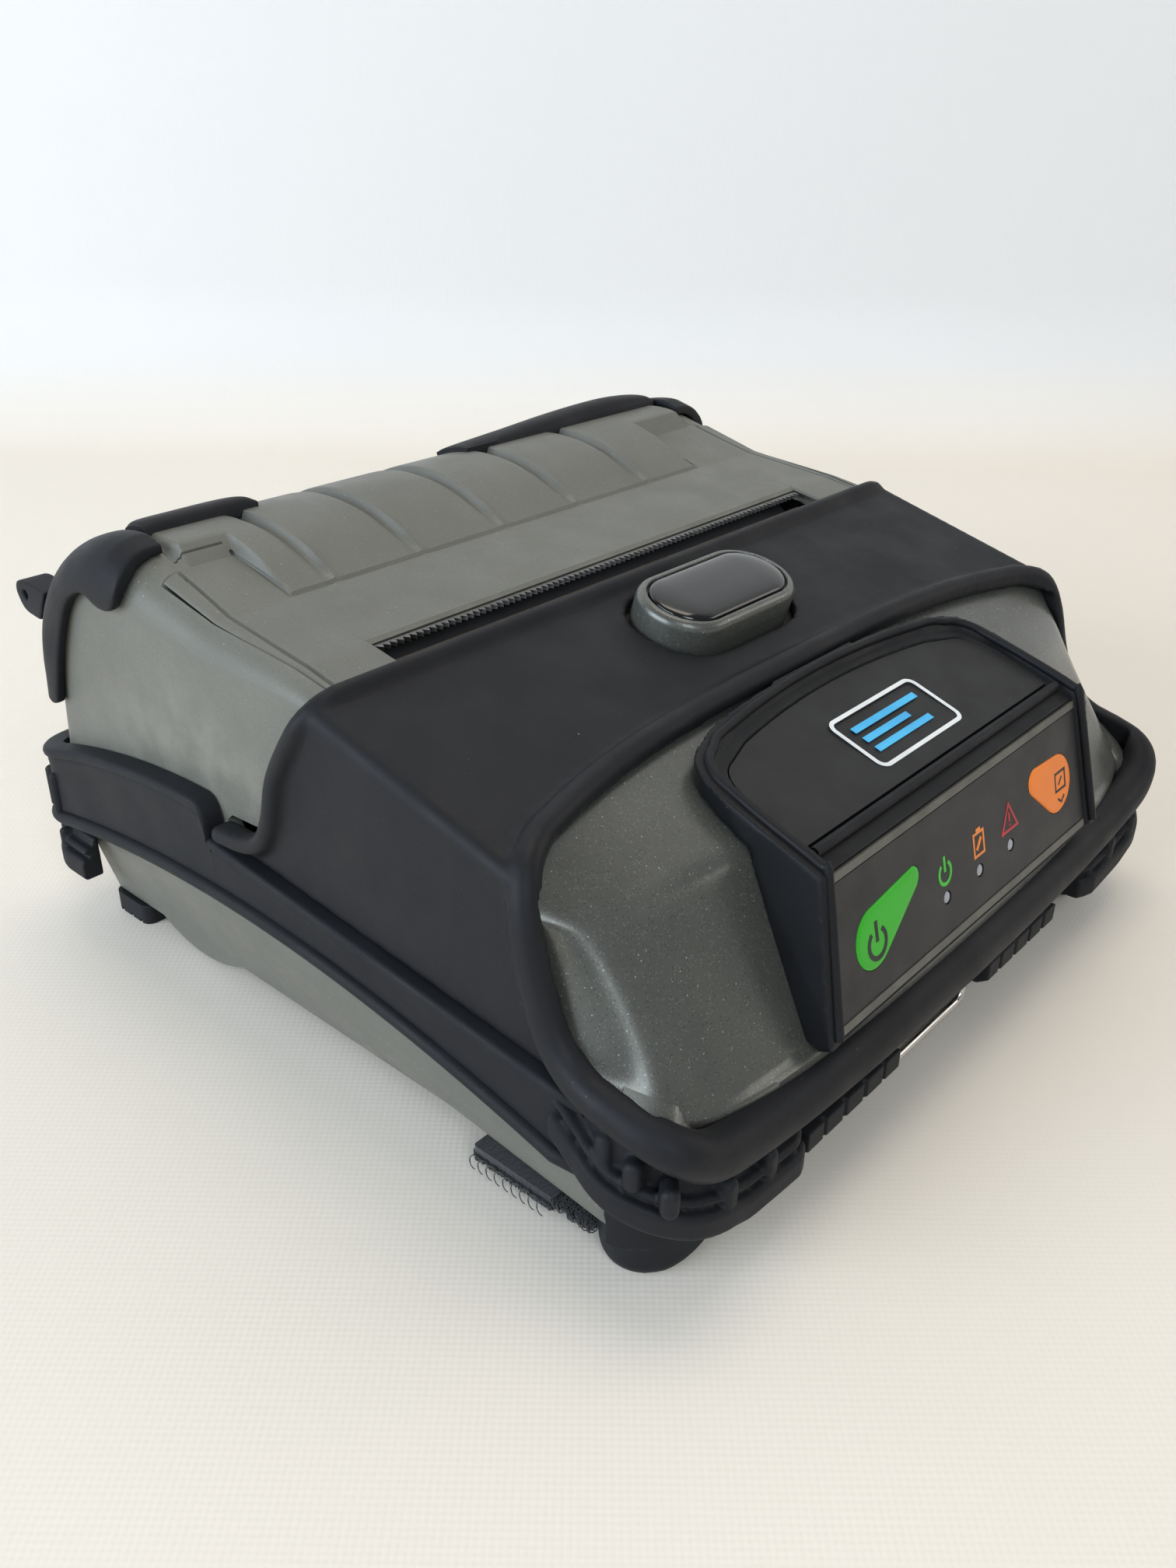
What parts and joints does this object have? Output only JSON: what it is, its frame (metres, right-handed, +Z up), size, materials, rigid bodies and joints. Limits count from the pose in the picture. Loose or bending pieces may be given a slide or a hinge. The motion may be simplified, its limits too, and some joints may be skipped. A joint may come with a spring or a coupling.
{
  "type": "portable label printer",
  "caption": "Rugged portable label maker with hinged media door, platen and gear train, release button, rubber overmoulds and a sealed key panel.",
  "frame": {"origin": "middle of the case's footprint, on the plane that its four feet stand on", "axes": "+X to the right as seen from the control panel, +Y to the rear hinge, +Z up"},
  "size_m": [0.1604, 0.1577, 0.0837],
  "materials": {
    "grey_case": "satin painted plastic",
    "grey_metallic": "metallic fleck paint",
    "black_rubber": "matte overmould",
    "platen_rubber": "ground silicone",
    "black_plastic": "fine texture",
    "overlay_film": "embossed film",
    "gloss_dome": "clear resin dome",
    "green_key": "printed film",
    "orange_key": "printed film",
    "led_window": "frosted",
    "steel": "plain",
    "aluminium": "extruded",
    "head_ceramic": "glazed ceramic",
    "circuit_board": "solder mask",
    "label_stock": "coated paper",
    "card_core": "card",
    "acetal": "moulded",
    "battery_wrap": "shrink film",
    "hook_fabric": "hook and loop"
  },
  "bodies": {
    "case": {"bottom_housing": "grey_case", "bottom_skirt": "black_rubber", "corner_guard_front_left": "black_rubber", "corner_guard_front_right": "black_rubber", "corner_guard_rear_left": "black_rubber", "corner_guard_rear_right": "black_rubber", "foot_front_left": "black_rubber", "foot_front_right": "black_rubber", "foot_rear_left": "black_rubber", "foot_rear_right": "black_rubber", "top_housing": "grey_case", "top_overmold": "black_rubber", "front_bezel": "grey_metallic", "panel_pod": "black_plastic", "nameplate": "gloss_dome", "keypad_overlay": "overlay_film", "keypad_board": "circuit_board", "led_power": "led_window", "led_battery": "led_window", "led_fault": "led_window", "rear_bumper_left": "black_rubber", "rear_bumper_right": "black_rubber", "hinge_pin": "steel", "print_head": "head_ceramic", "head_bracket": "aluminium", "stepper_motor": "steel", "gear_bracket": "steel", "main_board": "circuit_board", "battery_pack": "battery_wrap", "bail_bracket_left": "black_rubber", "bail_bracket_right": "black_rubber", "fastener_strip": "hook_fabric", "data_port": "steel", "power_jack": "black_plastic", "strap_lug": "black_rubber", "latch_spring": "steel", "case_screw_left": "steel", "case_screw_right": "steel"},
    "door": {"media_door": "grey_case", "tear_bar": "steel", "platen_bush_left": "black_plastic", "platen_bush_right": "black_plastic", "door_strip_left": "black_rubber", "door_strip_right": "black_rubber"},
    "platen": {"platen_roller": "platen_rubber", "platen_gear": "acetal"},
    "idler": {"idler_gear": "acetal"},
    "motor": {"motor_pinion": "steel"},
    "button": {"release_button": "grey_metallic", "button_label": "gloss_dome"},
    "latch": {"latch_bar": "steel"},
    "power_button": {"power_key": "green_key"},
    "feed_button": {"feed_key": "orange_key"},
    "roll": {"paper_roll": "label_stock", "roll_core": "card_core"},
    "guide_left": {"media_guide_left": "black_plastic"},
    "guide_right": {"media_guide_right": "black_plastic"},
    "guide_gear": {"guide_pinion": "acetal"},
    "bail": {"wire_bail": "steel"},
    "cover": {"port_cover": "black_rubber"}
  },
  "joints": [
    {"name": "door_hinge", "type": "hinge", "parent": "case", "child": "door", "pos_m": [0, 0.0702, 0.045], "axis": [-1, 0, 0], "range_deg": [0, 88]},
    {"name": "platen_spin", "type": "hinge", "parent": "door", "child": "platen", "pos_m": [0, 0.007, 0.062], "axis": [1, 0, 0], "continuous": true},
    {"name": "idler_spin", "type": "hinge", "parent": "case", "child": "idler", "pos_m": [0.0652, 0.00349, 0.04896], "axis": [1, 0, 0], "continuous": true},
    {"name": "motor_spin", "type": "hinge", "parent": "case", "child": "motor", "pos_m": [0.0652, -0.00641, 0.04417], "axis": [1, 0, 0], "continuous": true},
    {"name": "button_press", "type": "slide", "parent": "case", "child": "button", "axis": [0, 0.2544, -0.9671], "range_m": [0, 0.0025], "stiffness_N_per_m": 800},
    {"name": "latch_pivot", "type": "hinge", "parent": "case", "child": "latch", "pos_m": [0, -0.01, 0.057], "axis": [1, 0, 0], "range_deg": [0, 14.4]},
    {"name": "power_press", "type": "slide", "parent": "case", "child": "power_button", "axis": [0, 0.9703, -0.2419], "range_m": [0, 0.0004], "stiffness_N_per_m": 600},
    {"name": "feed_press", "type": "slide", "parent": "case", "child": "feed_button", "axis": [0, 0.9703, -0.2419], "range_m": [0, 0.0004], "stiffness_N_per_m": 600},
    {"name": "roll_spin", "type": "hinge", "parent": "case", "child": "roll", "pos_m": [0, 0.0405, 0.0415], "axis": [1, 0, 0], "continuous": true},
    {"name": "guide_left_slide", "type": "slide", "parent": "case", "child": "guide_left", "axis": [-1, 0, 0], "range_m": [0, 0.005]},
    {"name": "guide_right_slide", "type": "slide", "parent": "case", "child": "guide_right", "axis": [1, 0, 0], "range_m": [0, 0.005]},
    {"name": "guide_gear_spin", "type": "hinge", "parent": "case", "child": "guide_gear", "pos_m": [0, 0.0405, 0.0056], "axis": [0, 0, -1], "range_deg": [0, 72]},
    {"name": "bail_swing", "type": "hinge", "parent": "case", "child": "bail", "pos_m": [-0.005, -0.0723, 0.0104], "axis": [-1, 0, 0], "range_deg": [-20, 90]},
    {"name": "cover_hinge", "type": "hinge", "parent": "case", "child": "cover", "pos_m": [0.0774, -0.02, 0.0268], "axis": [0, 1, 0], "range_deg": [0, 100]}
  ],
  "couplings": [
    {"joint": "idler_spin", "follows": "platen_spin", "ratio": -0.8},
    {"joint": "motor_spin", "follows": "platen_spin", "ratio": 1.7143},
    {"joint": "latch_pivot", "follows": "button_press", "rad_per_m": 100},
    {"joint": "guide_right_slide", "follows": "guide_left_slide", "ratio": 1},
    {"joint": "guide_gear_spin", "follows": "guide_left_slide", "rad_per_m": 250}
  ]
}
